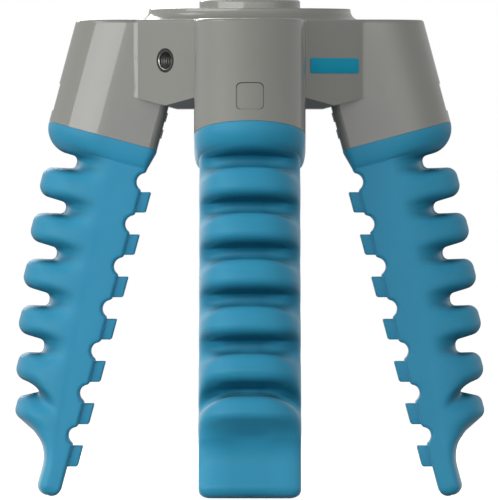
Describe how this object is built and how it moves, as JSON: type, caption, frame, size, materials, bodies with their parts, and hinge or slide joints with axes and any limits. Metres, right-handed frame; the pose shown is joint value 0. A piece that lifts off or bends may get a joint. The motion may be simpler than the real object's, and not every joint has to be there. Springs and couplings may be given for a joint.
{
  "type": "four-finger centric gripper",
  "caption": "Pneumatic robot gripper with a round flange, a rigid grey body and soft blue fingers round its axis that bend inwards to hold an object.",
  "frame": {"origin": "centre of the flange's mounting face, at the foot of the pilot boss", "axes": "+Z along the gripper's axis towards the robot, +X towards the right finger, -Y towards the front finger"},
  "size_m": [0.1166, 0.1166, 0.1229],
  "materials": {
    "body_plastic": "semi-gloss grey",
    "finger_silicone": "soft satin blue silicone",
    "plug_plastic": "black",
    "seal_rubber": "black",
    "insert_brass": "turned",
    "port_steel": "dark",
    "label_blue": "plain"
  },
  "bodies": {
    "hub": {"gripper_body": "body_plastic", "flange_inserts": "insert_brass", "air_port_insert": "port_steel", "label_plate": "label_blue", "finger_plug_front": "plug_plastic", "plug_seal_front": "seal_rubber", "finger_key_front": "body_plastic", "finger_plug_right": "plug_plastic", "plug_seal_right": "seal_rubber", "finger_key_right": "body_plastic", "finger_plug_back": "plug_plastic", "plug_seal_back": "seal_rubber", "finger_key_back": "body_plastic", "finger_plug_left": "plug_plastic", "plug_seal_left": "seal_rubber", "finger_key_left": "body_plastic"},
    "front_finger": {"finger_front": "finger_silicone"},
    "right_finger": {"finger_right": "finger_silicone"},
    "back_finger": {"finger_back": "finger_silicone"},
    "left_finger": {"finger_left": "finger_silicone"}
  },
  "joints": [
    {"name": "front_finger_bend", "type": "hinge", "parent": "hub", "child": "front_finger", "pos_m": [0, -0.02991, -0.04789], "axis": [1, 0, 0], "range_deg": [-10, 26], "stiffness_Nm_per_rad": 0.5, "deforming": ["finger_front"]},
    {"name": "right_finger_bend", "type": "hinge", "parent": "hub", "child": "right_finger", "pos_m": [0.02991, 0, -0.04789], "axis": [0, 1, 0], "range_deg": [-10, 26], "stiffness_Nm_per_rad": 0.5, "deforming": ["finger_right"]},
    {"name": "back_finger_bend", "type": "hinge", "parent": "hub", "child": "back_finger", "pos_m": [0, 0.02991, -0.04789], "axis": [-1, 0, 0], "range_deg": [-10, 26], "stiffness_Nm_per_rad": 0.5, "deforming": ["finger_back"]},
    {"name": "left_finger_bend", "type": "hinge", "parent": "hub", "child": "left_finger", "pos_m": [-0.02991, 0, -0.04789], "axis": [0, -1, 0], "range_deg": [-10, 26], "stiffness_Nm_per_rad": 0.5, "deforming": ["finger_left"]}
  ],
  "couplings": [
    {"joint": "right_finger_bend", "follows": "front_finger_bend", "ratio": 1},
    {"joint": "back_finger_bend", "follows": "front_finger_bend", "ratio": 1},
    {"joint": "left_finger_bend", "follows": "front_finger_bend", "ratio": 1}
  ]
}
